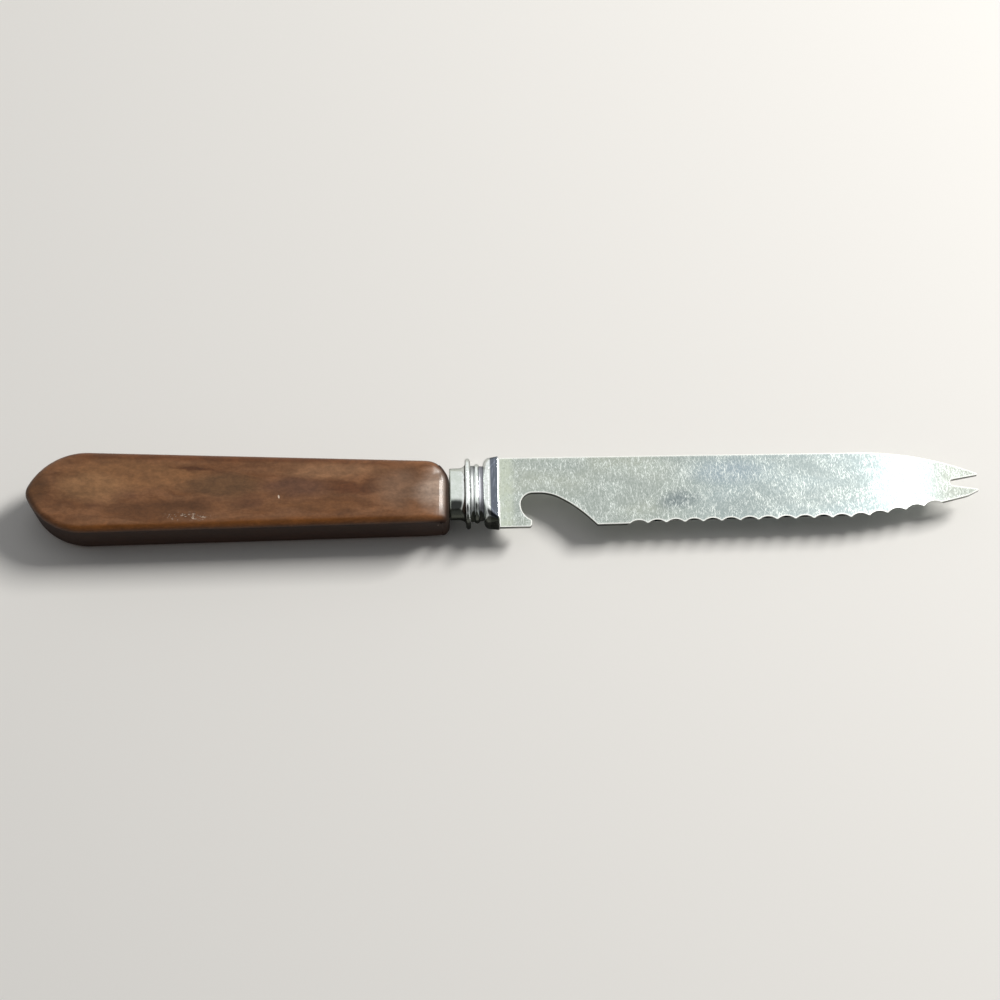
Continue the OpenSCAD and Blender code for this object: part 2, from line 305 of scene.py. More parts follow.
# no point of the flat front face lies further back than this
FRONT_DEPTH = 0.01

whole = handle_mesh.verts[:] + handle_mesh.edges[:] + handle_mesh.faces[:]
bmesh.ops.mirror(
    handle_mesh, geom=whole, matrix=Matrix.Identity(4), merge_dist=SAME_POINT, axis="Z"
)
bmesh.ops.remove_doubles(handle_mesh, verts=handle_mesh.verts, dist=SAME_POINT)
bmesh.ops.recalc_face_normals(handle_mesh, faces=handle_mesh.faces)
front_halves = [
    f for f in handle_mesh.faces
    if f.normal.x > SQUARE_ON and f.calc_center_median().x > -FRONT_DEPTH
]
front = bmesh.ops.dissolve_faces(handle_mesh, faces=front_halves)["region"][0]
front_rim = front.edges[:]
bmesh.ops.delete(handle_mesh, geom=[front], context="FACES_ONLY")
bore_place = Matrix.Translation((0, BLADE_OFFSET, 0)) @ Matrix.Rotation(pi / 2, 4, "Y")
mouth = bmesh.ops.create_circle(
    handle_mesh, segments=BORE_STEPS, radius=BORE_R, matrix=bore_place
)["verts"]
mouth_edges = list({e for v in mouth for e in v.link_edges})
join_loops(handle_mesh, front_rim + mouth_edges)
bore_reach = Vector((-BORE_L * cos(BLADE_TURN), -BORE_L * sin(BLADE_TURN), 0))
fill(handle_mesh, pull(handle_mesh, mouth_edges, bore_reach))
print(f"bore {2 * BORE_R:.1f} mm wide and {BORE_L:.0f} mm deep")

# %% [markdown]
# The far front corner
# One front corner of the real handle has been taken much further down than the other. A bevel that
# wide would run over the bore, so the corner is pushed in, as a wheel would do it. It is cut into
# narrow strips first, or there would be nothing to bend. Each point is then pulled towards the
# corner's centre, by as much as the outline stands out past a circle in that direction.

# %% Buff the far front corner round
CORNER_R, CORNER_CUTS = 5.7, 9
corner = Vector((-CORNER_R, FRONT_W / 2 - CORNER_R * (1 - side_normal.x) / side_normal.y))
front_normal = Vector((1, 0))
soft_centre = (CORNER_R - EDGE_R) * Vector((1, (1 - side_normal.x) / side_normal.y))
soft_from = soft_centre + EDGE_R * front_normal
soft_to = soft_centre + EDGE_R * side_normal


def outline_reach(way):
    """How far the outline is from the corner's centre, in one direction."""
    if soft_from.cross(way) > 0 and way.cross(soft_to) > 0:
        middle = way.dot(soft_centre)
        return middle + sqrt(middle**2 - soft_centre.length_squared + EDGE_R**2)
    return CORNER_R / max(way.dot(front_normal), way.dot(side_normal))


for i in range(CORNER_CUTS):
    reach = CORNER_R * tan(pi / 4 * i / CORNER_CUTS)
    zone_from = -HANDLE_L if i == 0 else corner.x
    cut_across(handle_mesh, (corner.x + reach, 0, 0), (1, 0, 0), zone_from)
    cut_across(handle_mesh, (0, corner.y + reach, 0), (0, 1, 0), corner.x)

pushed = 0
for v in handle_mesh.verts:
    out = v.co.xy - corner
    if out.x > SAME_POINT and out.y > SAME_POINT and v.co.x > corner.x:
        v.co.xy = corner + out * CORNER_R / outline_reach(out.normalized())
        pushed += 1
taken_off = soft_centre.length + EDGE_R - CORNER_R
print(f"pushed {pushed} points in, the corner stands {taken_off:.2f} mm less proud")

# %% The finished handle
handle = finish_piece("handle_slab", handle_mesh, handle_place)
keep_flats_flat(handle)
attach(handle, "root")
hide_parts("handle")

# %% [markdown]
# The ferrule
# The ferrule is a chromed casting, threaded over the tang before the knife is cemented. Along its
# length run a plain neck, a hollow that flares out, a tall ring, a bead between two grooves and a
# bell that carries the blade. Across, it is almost oval as far as the bell, where its corners
# sharpen until they are nearly square at the blade, so it can't be a plain spin. It is a skin over
# many sections: one rounded loop is extruded from station to station, and each new loop is set to
# the width, thickness and corner of its station. The stations come from a profile traced with the
# pen.

# %% Trace the mouldings
NECK_L, HOLLOW_L, HOLLOW_R = 2.3, 1.6, 2.3
RING_W, RING_H, RING_SET_BACK = 1.3, 1.9, 0.8
GROOVE_W, GROOVE_H = 0.9, 0.5
BEAD_W, BEAD_H = 1.3, 0.9
BELL_L, BELL_H, SHOULDER_R = 3.9, 1.9, 1.4
END_R = 0.25
HEEL_W, HEEL_OVERHANG = 18.3, 0.7
RING_ROOT = NECK_L + HOLLOW_L
BEAD_START = RING_ROOT + RING_W + GROOVE_W
BELL_START = BEAD_START + BEAD_W + GROOVE_W
FERRULE_L = BELL_START + BELL_L
END_STEPS, HOLLOW_STEPS, RING_STEPS, BEAD_STEPS = 4, 8, 16, 12

end_bow = -END_R * (1 - cos(pi / 4))
pen = Pen((0, -END_R))
pen.arc_to((END_R, 0), end_bow, END_STEPS)
pen.line_to((NECK_L, 0))
pen.arc_about((NECK_L, HOLLOW_R), asin(HOLLOW_L / HOLLOW_R), HOLLOW_STEPS)
pen.line_to((RING_ROOT, RING_H - RING_W / 2))
pen.arc_about((RING_ROOT + RING_W / 2, RING_H - RING_W / 2), -pi, RING_STEPS)
pen.line_to((RING_ROOT + RING_W, GROOVE_H))
pen.line_to((BEAD_START, GROOVE_H))
pen.arc_to((BEAD_START + BEAD_W, GROOVE_H), GROOVE_H - BEAD_H, BEAD_STEPS)
pen.line_to((BELL_START, GROOVE_H))
pen.arc_about((BELL_START + SHOULDER_R, BELL_H - SHOULDER_R), -pi / 2, BEAD_STEPS)
pen.line_to((FERRULE_L - END_R, BELL_H))
pen.arc_to((FERRULE_L, BELL_H - END_R), end_bow, END_STEPS)
pen.mesh.verts.index_update()
stations = [v.co.xy.copy() for v in pen.mesh.verts]
pen.mesh.free()
print(f"ferrule {FERRULE_L:.1f} mm long, {len(stations)} stations")

# %% The section at a station
CORE_W = HEEL_W - 2 * (HEEL_OVERHANG + BELL_H)
CORE_REAR_T = HANDLE_T - 2 * (RING_H + RING_SET_BACK)
CORE_FRONT_T = 4.8
OVAL_W, OVAL_H, SHARP_R = 5.6, 3.45, 0.8


def section_at(u, height):
    """Half size of the ferrule at a station, and of its corners, as width and thickness."""
    share = max(0.0, u - RING_ROOT) / (FERRULE_L - RING_ROOT)
    core_t = CORE_REAR_T + (CORE_FRONT_T - CORE_REAR_T) * share
    sharpened = max(0.0, u - BELL_START) / BELL_L
    half = Vector((CORE_W / 2 + height, core_t / 2 + height))
    bend = Vector((OVAL_W, OVAL_H)).lerp(Vector((SHARP_R, SHARP_R)), sharpened)
    return half, bend + Vector((1, 1)) * min(0.0, height)


rear_half, front_half = section_at(*stations[0])[0], section_at(*stations[-1])[0]
print(f"ferrule {2 * rear_half.x:.1f} mm wide at the handle, {2 * front_half.x:.1f} mm at the blade")

# %% Skin the ferrule from one rounded loop
CORNER_STEPS, LOOP_CORNER = 14, 0.5

ferrule_mesh = bmesh.new()
bmesh.ops.create_grid(ferrule_mesh, x_segments=1, y_segments=1, size=1)
bmesh.ops.bevel(
    ferrule_mesh, geom=ferrule_mesh.verts[:], offset=LOOP_CORNER, affect="VERTICES",
    segments=CORNER_STEPS, profile=0.5, material=-1,
)
bmesh.ops.delete(ferrule_mesh, geom=ferrule_mesh.faces[:], context="FACES_ONLY")
# each vertex remembers which corner it is in, and its angle round that corner
corner_of = ferrule_mesh.verts.layers.float_vector.new("corner")
for v in ferrule_mesh.verts:
    side_y, side_z = (1 if v.co.x > 0 else -1), (1 if v.co.y > 0 else -1)
    turn = atan2(v.co.y - LOOP_CORNER * side_z, v.co.x - LOOP_CORNER * side_y)
    v[corner_of] = (side_y, side_z, turn)


def set_ring(verts, u, height):
    """Moves one loop of the skin to its station."""
    half, bend = section_at(u, height)
    for v in verts:
        side_y, side_z, turn = v[corner_of]
        y = side_y * (half.x - bend.x) + bend.x * cos(turn)
        z = side_z * (half.y - bend.y) + bend.y * sin(turn)
        v.co = (u, y, z)


rear_rim = ring = ferrule_mesh.edges[:]
set_ring(ferrule_mesh.verts, *stations[0])
for u, height in stations[1:]:
    pulled = bmesh.ops.extrude_edge_only(ferrule_mesh, edges=ring)["geom"]
    ring = parts(pulled, bmesh.types.BMEdge)
    set_ring(parts(pulled, bmesh.types.BMVert), u, height)
print(f"{len(ferrule_mesh.faces)} faces in the skin")

# %% Cut the slot for the tang, right through
# the tang's width and length, the sheet's thickness, and the room round the tang
TANG_W, TANG_L, BLADE_T, SLOT_GAP = 5.0, 52.0, 1.3, 0.1
slot_w, slot_t = TANG_W + 2 * SLOT_GAP, BLADE_T + 2 * SLOT_GAP
slot_place = Matrix.Rotation(pi / 2, 4, "Y") @ Matrix.Diagonal((slot_t / 2, slot_w / 2, 1, 1))
slot = bmesh.ops.create_grid(
    ferrule_mesh, x_segments=1, y_segments=1, size=1, matrix=slot_place
)["verts"]
slot_edges = list({e for v in slot for e in v.link_edges})
slot_faces = list({f for v in slot for f in v.link_faces})
bmesh.ops.delete(ferrule_mesh, geom=slot_faces, context="FACES_ONLY")
join_loops(ferrule_mesh, rear_rim + slot_edges)
far_edges = pull(ferrule_mesh, slot_edges, (FERRULE_L, 0, 0))
join_loops(ferrule_mesh, ring + far_edges)
ferrule = finish_piece("ferrule_cast", ferrule_mesh, blade_place)
keep_flats_flat(ferrule)
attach(ferrule, "root")
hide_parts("ferrule")

# %% [markdown]
# The blade
# The blade is one stamping of stainless sheet. Its heel is a bottle opener: a claw, a throat whose
# curve opens towards the claw, and a curved fulcrum that runs out into a ramp. The edge has a row of
# scallops, ground one by one from the underside, so their walls lean. The point is forked for
# lifting fruit. Behind the heel the same sheet goes on as a narrow tang. The outline is traced
# twice, once for each face of the sheet, with the scallops cut deeper into the lower face, and the
# two loops are bridged.

# %% The blade's sizes and its opener
# the blade past the ferrule, its width where the point starts, the point, and the bows there
BLADE_L, POINT_W, POINT_L = 118.8, 17.0, 30.0
SPINE_BOW, EDGE_BOW = 1.6, 0.5
# the claw's reach and height, the throat's radius and height, and the level stretch after it
CLAW_L, CLAW_H, THROAT_R, THROAT_H, CROWN_L = 8.0, 1.8, 3.1, 8.9, 1.4
# the fulcrum's arc, the ramp's wider arc after it, and the slope at the ramp's foot
FULCRUM_R, FULCRUM_TURN, RAMP_R, RAMP_SLOPE = 11.0, radians(29), 32.0, radians(45)
# where round the throat its wider curve starts, and the cut corner of the claw
HOOK_START, CLAW_CUT = radians(190), 0.45

tip_u = FERRULE_L + BLADE_L
heel_v = HEEL_W / 2
edge_point = Vector((tip_u - POINT_L, -POINT_W / 2))
claw = Vector((FERRULE_L + CLAW_L, CLAW_H - heel_v))
throat_v = THROAT_H - heel_v - THROAT_R
throat = Vector((claw.x - (throat_v - claw.y) + THROAT_R * sqrt(2), throat_v))
fulcrum = throat + Vector((CROWN_L, THROAT_R - FULCRUM_R))
fulcrum_end = pi / 2 - FULCRUM_TURN
ramp = fulcrum - (RAMP_R - FULCRUM_R) * Vector((cos(fulcrum_end), sin(fulcrum_end)))
hook_out = Vector((cos(HOOK_START), sin(HOOK_START)))
hook_start = throat + THROAT_R * hook_out
to_claw = claw - hook_start
hook_r = to_claw.length_squared / 2 / to_claw.dot(-hook_out)
hook = hook_start - hook_r * hook_out
hook_turn = (hook_start - hook).angle_signed(claw - hook)
print(f"throat radius {THROAT_R} mm, opening to {hook_r:.1f} mm towards the claw")

# %% The fork and the edge
# the fork's width at its mouth and its root, its length, and the flat at the end of a prong
MOUTH_W, ROOT_W, FORK_L, PRONG_TIP_W = 3.7, 1.55, 6.9, 0.4
# the nose of the prong on the edge's side: how far back it lies and how far it stands out
NOSE_L, NOSE_H = 2.6, 1.3

prong_v = MOUTH_W / 2 + PRONG_TIP_W
nose = Vector((tip_u - NOSE_L, -prong_v - NOSE_H))
root_u = tip_u - FORK_L + ROOT_W / 2
edge_slope = (edge_point.y + heel_v) / (edge_point.x - FERRULE_L)
edge_bow = bow_centre(edge_point, nose, EDGE_BOW)
edge_bow_r = (edge_point - edge_bow).length


def edge_at(u):
    """Place on the blade's edge line, before the scallops are ground."""
    if u < edge_point.x:
        return Vector((u, -heel_v + edge_slope * (u - FERRULE_L)))
    return Vector((u, edge_bow.y - sqrt(edge_bow_r**2 - (u - edge_bow.x) ** 2)))


def bow_between(a, b):
    """Bow of the stretch of the edge's curve from a to b."""
    half = (b - a).length / 2
    return edge_bow_r - sqrt(edge_bow_r**2 - half * half)


print(f"the edge curves up to the point at a radius of {edge_bow_r:.0f} mm")

# %% The scallops
# how many, from one to the next, where the row starts, the wheel's radius, the land between two
SCALLOPS, PITCH, SCALLOP_START, SCALLOP_R, LAND = 17, 4.56, 32.0, 3.7, 0.4
GRIND_ANGLE = radians(35)
SCALLOP_STEPS = 10
# on the lower face: how far the end scallops run out, and half the ridge left between two
LOWER_RUN_OUT, LOWER_LAND = 0.607, 0.03


def grind_depth(across, deeper):
    """Depth of a scallop at a distance from its middle; deeper is how far the tilt carries it in."""
    reach = SCALLOP_R / cos(GRIND_ANGLE)
    chord = (PITCH - LAND) / 2
    rise = sqrt(1 - (across / SCALLOP_R) ** 2) - sqrt(1 - (chord / SCALLOP_R) ** 2)
    return deeper + reach * rise


def trace_scallops(pen, deeper):
    """The row along one face. Above, flat lands part the scallops; below, they all but meet."""
    run_out, cusp, land = -LAND / 2, 0.0, LAND / 2
    if deeper:
        run_out, cusp, land = LOWER_RUN_OUT, grind_depth(PITCH / 2, deeper), LOWER_LAND
    for i in range(SCALLOPS):
        a = edge_at(FERRULE_L + SCALLOP_START + i * PITCH)
        b = edge_at(FERRULE_L + SCALLOP_START + (i + 1) * PITCH)
        along = (b - a).normalized()
        inwards = Vector((-along.y, along.x))
        start = a - along * run_out if i == 0 else a + along * land + inwards * cusp
        end = b + along * run_out if i == SCALLOPS - 1 else b - along * land + inwards * cusp
        middle = (a + b) / 2 + inwards * grind_depth(0, deeper)
        bow = (middle - (start + end) / 2).dot(inwards)
        pen.line_to(start)
        pen.arc_to(end, -bow, SCALLOP_STEPS)


lean = BLADE_T * tan(GRIND_ANGLE)
print(f"scallops {grind_depth(0, 0):.2f} mm deep above and {grind_depth(0, lean):.2f} mm below")

# %% Trace one face of the blade
HOOK_STEPS, THROAT_STEPS, RAMP_STEPS = 9, 16, 10
NOSE_STEPS, FORK_STEPS, SPINE_STEPS = 8, 12, 28
# this far past the last scallop, the outline is back on the edge's own curve
LAST_LAND = 0.3


def trace_blade(mesh, z, deeper):
    """The outline at one height, from the heel along the opener, the edge, the point and the spine."""
    pen = Pen((FERRULE_L, -heel_v), z, mesh)
    pen.line_to((claw.x - CLAW_CUT, -heel_v))
    pen.line_to((claw.x, CLAW_CUT - heel_v))
    pen.line_to(claw)
    pen.arc_about(hook, hook_turn, HOOK_STEPS)
    pen.arc_about(throat, pi / 2 - HOOK_START, THROAT_STEPS)
    pen.line_to((fulcrum.x, fulcrum.y + FULCRUM_R))
    pen.arc_about(fulcrum, -FULCRUM_TURN, RAMP_STEPS)
    pen.arc_about(ramp, pi / 2 - RAMP_SLOPE - fulcrum_end, RAMP_STEPS)
    foot = pen.last.co.xy
    run = (foot.y - edge_at(foot.x).y) / (1 + edge_slope)
    pen.line_to((foot.x + run, foot.y - run))

    trace_scallops(pen, deeper)
    back_on_edge = edge_at(pen.last.co.x + LAST_LAND)
    pen.line_to(back_on_edge)
    pen.arc_to(nose, bow_between(back_on_edge, nose), NOSE_STEPS)
    pen.line_to((tip_u, -prong_v))
    pen.line_to((tip_u, -MOUTH_W / 2))
    pen.line_to((root_u, -ROOT_W / 2))
    pen.arc_about((root_u, 0), -pi, FORK_STEPS)
    pen.line_to((tip_u, MOUTH_W / 2))
    pen.line_to((tip_u, prong_v))
    pen.arc_to((tip_u - POINT_L, POINT_W / 2), SPINE_BOW, SPINE_STEPS)
    pen.line_to((FERRULE_L, heel_v))
    pen.line_to((FERRULE_L, TANG_W / 2))
    pen.line_to((-TANG_L, TANG_W / 2))
    pen.line_to((-TANG_L, -TANG_W / 2))
    pen.line_to((FERRULE_L, -TANG_W / 2))
    pen.close()
    return pen.edges


# %% Bridge the two faces and soften the edges
SOFTENED, SOFTENED_STEPS = 0.15, 3

blade_mesh = bmesh.new()
upper = trace_blade(blade_mesh, BLADE_T / 2, 0.0)
lower = trace_blade(blade_mesh, -BLADE_T / 2, lean)
print("edges in the two loops:", len(upper), len(lower))
upper_face, lower_face = fill(blade_mesh, upper), fill(blade_mesh, lower)
bmesh.ops.bridge_loops(blade_mesh, edges=upper + lower)
bmesh.ops.recalc_face_normals(blade_mesh, faces=blade_mesh.faces)
rims = list(upper_face.edges) + list(lower_face.edges)
round_edges(blade_mesh, rims, SOFTENED, SOFTENED_STEPS)
blade = finish_piece("blade_stamping", blade_mesh, blade_place)
keep_flats_flat(blade)
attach(blade, "root")
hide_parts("blade")

# %% [markdown]
# A kit for finishes
# Every finish here is procedural: patterns worked out from the place on the piece, in millimetres,
# so that they have the right scale and go right through the piece, as marbling does. A small class
# keeps the node code short. Its methods are the few moves that all the finishes share: clouds of
# noise, a soft threshold, a blend of two colours, and patches, which are soft-edged spots at known
# places on the piece.

THROUGH = 500.0


def rgb(red, green, blue):
    """A colour written as 0 to 255 on screen, as the linear values that nodes need."""
    def linear(c):
        c /= 255
        return c / 12.92 if c <= 0.04045 else ((c + 0.055) / 1.055) ** 2.4
    return (linear(red), linear(green), linear(blue), 1.0)


class Finish:
    """A material, and the moves that its nodes are built with."""

    def __init__(self, name):
        self.material = bpy.data.materials.new(name)
        self.material.use_nodes = True
        self.tree = self.material.node_tree
        self.tree.nodes.clear()
        self.shader = self.add("ShaderNodeBsdfPrincipled")
        self.out = self.add("ShaderNodeOutputMaterial", {"Surface": self.shader.outputs[0]})
        place = self.add("ShaderNodeTexCoord").outputs["Object"]
        self.mm = self.vector("SCALE", place, scale=1 / MM)[0]

    def add(self, kind, inputs=None, **settings):
        node = self.tree.nodes.new(kind)
        for name, value in settings.items():
            setattr(node, name, value)
        for key, value in (inputs or {}).items():
            self.put(node.inputs[key], value)
        return node

    def put(self, socket, value):
        if isinstance(value, bpy.types.NodeSocket):
            self.tree.links.new(value, socket)
        else:
            socket.default_value = value

    def shade(self, name, value):
        """One of the shader's own settings, as a constant or as what a node gives."""
        self.put(self.shader.inputs[name], value)

    def math(self, operation, a, b=0.0, c=0.0):
        return self.add("ShaderNodeMath", {0: a, 1: b, 2: c}, operation=operation).outputs[0]

    def vector(self, operation, a, b=(0, 0, 0), scale=1.0):
        """One step of vector maths: its outputs are a vector and a number."""
        inputs = {0: a, 1: b, 3: scale}
        return self.add("ShaderNodeVectorMath", inputs, operation=operation).outputs

    def split(self, where):
        return self.add("ShaderNodeSeparateXYZ", {0: where}).outputs

    def moved(self, where, centre=(0, 0, 0), size=(1, 1, 1), turn=0.0):
        """The place as seen from a spot with its own centre, size and turn."""
        inputs = {"Vector": where, "Location": centre, "Rotation": (0, 0, turn), "Scale": size}
        return self.add("ShaderNodeMapping", inputs, vector_type="TEXTURE").outputs[0]

    def noise(self, where, size, detail=2.0, rough=0.5, stretch=None, output=0):
        """Clouds of noise, whose size is in millimetres, drawn out by a stretch."""
        if stretch:
            where = self.moved(where, size=stretch)
        inputs = {"Vector": where, "Scale": 1 / size, "Detail": detail, "Roughness": rough}
        return self.add("ShaderNodeTexNoise", inputs).outputs[output]

    def soft(self, value, low, high, to_low=0.0, to_high=1.0):
        """A soft step from one level to another, as the value goes from low to high."""
        inputs = {0: value, 1: low, 2: high, 3: to_low, 4: to_high}
        return self.add("ShaderNodeMapRange", inputs, interpolation_type="SMOOTHSTEP").outputs[0]

    def band(self, value, start, end, blur):
        """1 between two places along an axis, falling off over the blur."""
        rise = self.soft(value, start - blur, start)
        return self.math("MULTIPLY", rise, self.soft(value, end + blur, end))

    def mix(self, share, a, b):
        """A blend of two numbers."""
        return self.add("ShaderNodeMix", {0: share, 2: a, 3: b}).outputs[0]

    def blend(self, share, a, b, way="MIX"):
        """A blend of two colours."""
        inputs = {0: share, 6: a, 7: b}
        return self.add("ShaderNodeMix", inputs, data_type="RGBA", blend_type=way).outputs[2]

    def patch(self, where, centre, size, turn=0.0, edge=0.5):
        """1 inside a soft-edged oval, 0 outside it."""
        local = self.moved(where, centre, size, radians(turn))
        return self.soft(self.vector("LENGTH", local)[1], 1.0, 1.0 - edge)

    def paint(self, colour, where, patches):
        """Lays patches over a colour, one after another."""
        for (x, y), (long, wide), turn, edge, share, tint in patches:
            spot = self.patch(where, (x, y, 0), (long, wide, THROUGH), turn, edge)
            colour = self.blend(self.math("MULTIPLY", spot, share), colour, tint)
        return colour

    def bump(self, height, depth, normal=None):
        """Depth is in millimetres."""
        inputs = {"Height": height, "Distance": depth * MM, "Strength": 1.0}
        node = self.add("ShaderNodeBump", inputs)
        if normal is not None:
            self.put(node.inputs["Normal"], normal)
        return node.outputs[0]

    def dress(self, piece):
        """Gives the finish to a piece."""
        piece.data.materials.clear()
        piece.data.materials.append(self.material)
        print(f"{piece.name}: {self.material.name}, {len(self.tree.nodes)} nodes")


# %% [markdown]
# Marbled resin
# The handle is phenolic resin, cast in brown marbled like wood and horn. Broad streaks run along
# it. The broad end has a light tan tongue with a redder border, and its very tip is painted darker
# as shade. The middle is clouded grey and mauve with one dark red-brown patch, and the front is a
# pinkish grey, painted paler still as a sheen where it curves towards the light. Years of handling
# have dulled the flats and scuffed one place in the wide half, and only the front end has kept its
# polish. The sides, and the valley at the joint with the ferrule, are painted dark as shade.
# Streaky noise gives the ground, and warped patches, placed as on the real handle, give the clouds.

# %% The ground of the marbling
# how far the warp carries the streaks and patches about, in millimetres
WARP = 6.0

resin = Finish("marbled resin")
warp = resin.noise(resin.mm, 5.0, 3.0, stretch=(2.2, 1, 1), output="Color")
shift = resin.vector("SUBTRACT", warp, (0.5, 0.5, 0.5))[0]
shift = resin.vector("SCALE", shift, scale=WARP)[0]
flow = resin.vector("ADD", resin.mm, shift)[0]

streaks = resin.noise(flow, 3.2, 4.0, 0.6, stretch=(5, 1, 2))
colour = resin.blend(resin.soft(streaks, 0.34, 0.66), rgb(101, 65, 38), rgb(122, 84, 56))
clouds = resin.noise(resin.mm, 7.0, 3.0, stretch=(2.4, 1, 1))
colour = resin.blend(resin.soft(clouds, 0.55, 0.75, 0.0, 0.5), colour, rgb(103, 70, 52))

# %% The clouds, patch by patch
# centre and half size along and across the handle in millimetres, turn in degrees, edge, share
resin_patches = [
    ((-90.0, 3.4), (23.0, 5.2), -3.0, 0.60, 0.90, rgb(127, 89, 57)),
    ((-101.0, 0.4), (12.5, 5.0), 0.0, 0.60, 0.85, rgb(138, 101, 68)),
    ((-68.0, 0.6), (14.0, 4.6), 0.0, 0.70, 0.85, rgb(96, 69, 45)),
    ((-50.5, 0.5), (12.0, 4.0), 0.0, 0.70, 0.85, rgb(97, 66, 49)),
    ((-36.5, 0.0), (8.5, 2.3), -3.0, 0.70, 0.90, rgb(90, 54, 31)),
    ((-42.0, 4.6), (18.0, 2.9), -2.0, 0.80, 0.95, rgb(138, 101, 72)),
    ((-25.0, -0.3), (9.0, 6.4), 0.0, 0.70, 0.85, rgb(124, 95, 74)),
    ((-83.0, -4.8), (21.0, 2.3), 3.0, 0.70, 0.85, rgb(90, 58, 34)),
    ((-76.0, 5.2), (7.5, 0.9), -4.0, 0.80, 0.95, rgb(76, 44, 22)),
    # painted shade: the butt's very tip, whose real top slopes away from the light, is painted darker
    ((-115.5, 0.0), (5.5, 7.0), 0.0, 0.60, 0.80, rgb(86, 56, 31)),
    ((-62.0, -3.6), (5.0, 2.6), 0.0, 0.80, 0.60, rgb(86, 56, 38)),
    ((-45.0, -4.8), (16.0, 2.0), 1.0, 0.80, 0.60, rgb(118, 79, 48)),
    # painted sheen: the front end, which curves towards the light, is painted paler than its own
    # colour
    ((-16.5, -0.2), (6.6, 6.4), 0.0, 0.75, 1.0, rgb(164, 141, 124)),
]
colour = resin.paint(colour, flow, resin_patches)
print(f"{len(resin_patches)} patches over the ground")

# %% The border, and the shade painted on the sides and at the joint
# the border in millimetres from the side: where it starts, where it is full, how ragged it is
BORDER_IN, BORDER_FULL, RAGGED = 3.4, 1.9, 1.6

in_handle = resin.moved(resin.mm, (JOINT_X, HANDLE_Y, MID_Z))
along, across, up = resin.split(in_handle)
off_axis = resin.math("ABSOLUTE", across)
half_width = resin.math("MULTIPLY_ADD", along, -TAPER, FRONT_W / 2)
from_side = resin.math("SUBTRACT", half_width, off_axis)
ragged = resin.noise(resin.mm, 2.5, 2.0, stretch=(4, 1, 1))
from_side = resin.math("MULTIPLY_ADD", ragged, RAGGED, from_side)
border = resin.soft(from_side, BORDER_IN, BORDER_FULL, 0.0, 0.85)
border = resin.math("MULTIPLY", border, resin.soft(along, -12.0, -32.0, 0.35, 1.0))
border_tint = resin.blend(resin.soft(across, -3.0, 3.0), rgb(112, 68, 30), rgb(92, 53, 26))
colour = resin.blend(border, colour, border_tint)

# painted shade: the sides, below the top and above the bottom, are painted near black
below_top = resin.math("SUBTRACT", HANDLE_T / 2, resin.math("ABSOLUTE", up))
shaded_side = resin.soft(below_top, 0.5, 1.7)
colour = resin.blend(resin.math("MULTIPLY", shaded_side, 0.97), colour, rgb(34, 13, 1))
# painted shade: the last bit of the front end, in the valley by the ferrule, is painted dark
joint_shade = resin.soft(along, -0.7, -0.25)
colour = resin.blend(joint_shade, colour, rgb(34, 22, 13))

# %% The veins, the scuffs, the nicks and a painted glint
veins = resin.noise(flow, 2.4, 3.0, 0.55, stretch=(2.0, 1, 1))
colour = resin.blend(0.25, colour, resin.soft(veins, 0.2, 0.8), "OVERLAY")
grain = resin.noise(resin.mm, 0.6, 3.0, 0.6, stretch=(1.5, 1, 1))
colour = resin.blend(0.14, colour, resin.soft(grain, 0.25, 0.75), "OVERLAY")

# each place and half size is in the frame, in millimetres, and the turn is in degrees
scuffs = resin.noise(resin.mm, 1.1, 4.0, 0.7, stretch=(1.2, 0.7, 1))
scuff_band = resin.patch(resin.mm, (-77.0, -7.3, HANDLE_T), (7.5, 1.5, 3), 0.0, 0.7)
scuffed = resin.math("MULTIPLY", resin.soft(scuffs, 0.54, 0.64), scuff_band)
nick = resin.patch(resin.mm, (-55.1, -2.3, HANDLE_T), (0.28, 0.6, 1), 12.0, 0.5)
# painted highlight: a nick low on the near side, near the front, is painted as bright as its glint
side_glint = resin.patch(resin.mm, (-16.2, -8.2, 9.5), (0.4, 0.5, 0.9), 0.0, 0.6)
bared_and_glint = resin.math("MAXIMUM", nick, side_glint)
bared_and_glint = resin.math("MAXIMUM", resin.math("MULTIPLY", scuffed, 0.7), bared_and_glint)
colour = resin.blend(bared_and_glint, colour, rgb(214, 192, 172))
resin.shade("Base Color", colour)

# %% The resin's sheen and surface
smear = resin.noise(resin.mm, 3.0, 3.0, stretch=(5, 1, 1))
dull = resin.soft(smear, 0.3, 0.7, 0.34, 0.46)
near_front = resin.soft(along, -8.0, -3.5)
buffed = resin.math("MULTIPLY", near_front, resin.soft(off_axis, 6.6, 3.0))
rough = resin.math("MULTIPLY_ADD", resin.math("SUBTRACT", 0.19, dull), buffed, dull)
rough = resin.math("MAXIMUM", rough, resin.math("MULTIPLY", shaded_side, 0.7))
rough = resin.math("MAXIMUM", rough, resin.math("MULTIPLY", joint_shade, 0.8))
resin.shade("Roughness", rough)
resin.shade("Specular IOR Level", 0.26)

waves = resin.noise(resin.mm, 6.0, 1.0, stretch=(3, 1, 1))
normal = resin.bump(waves, 0.1)
normal = resin.bump(grain, 0.004, normal)
normal = resin.bump(resin.math("MAXIMUM", scuffed, nick), -0.12, normal)
resin.shade("Normal", normal)
resin.dress(handle)
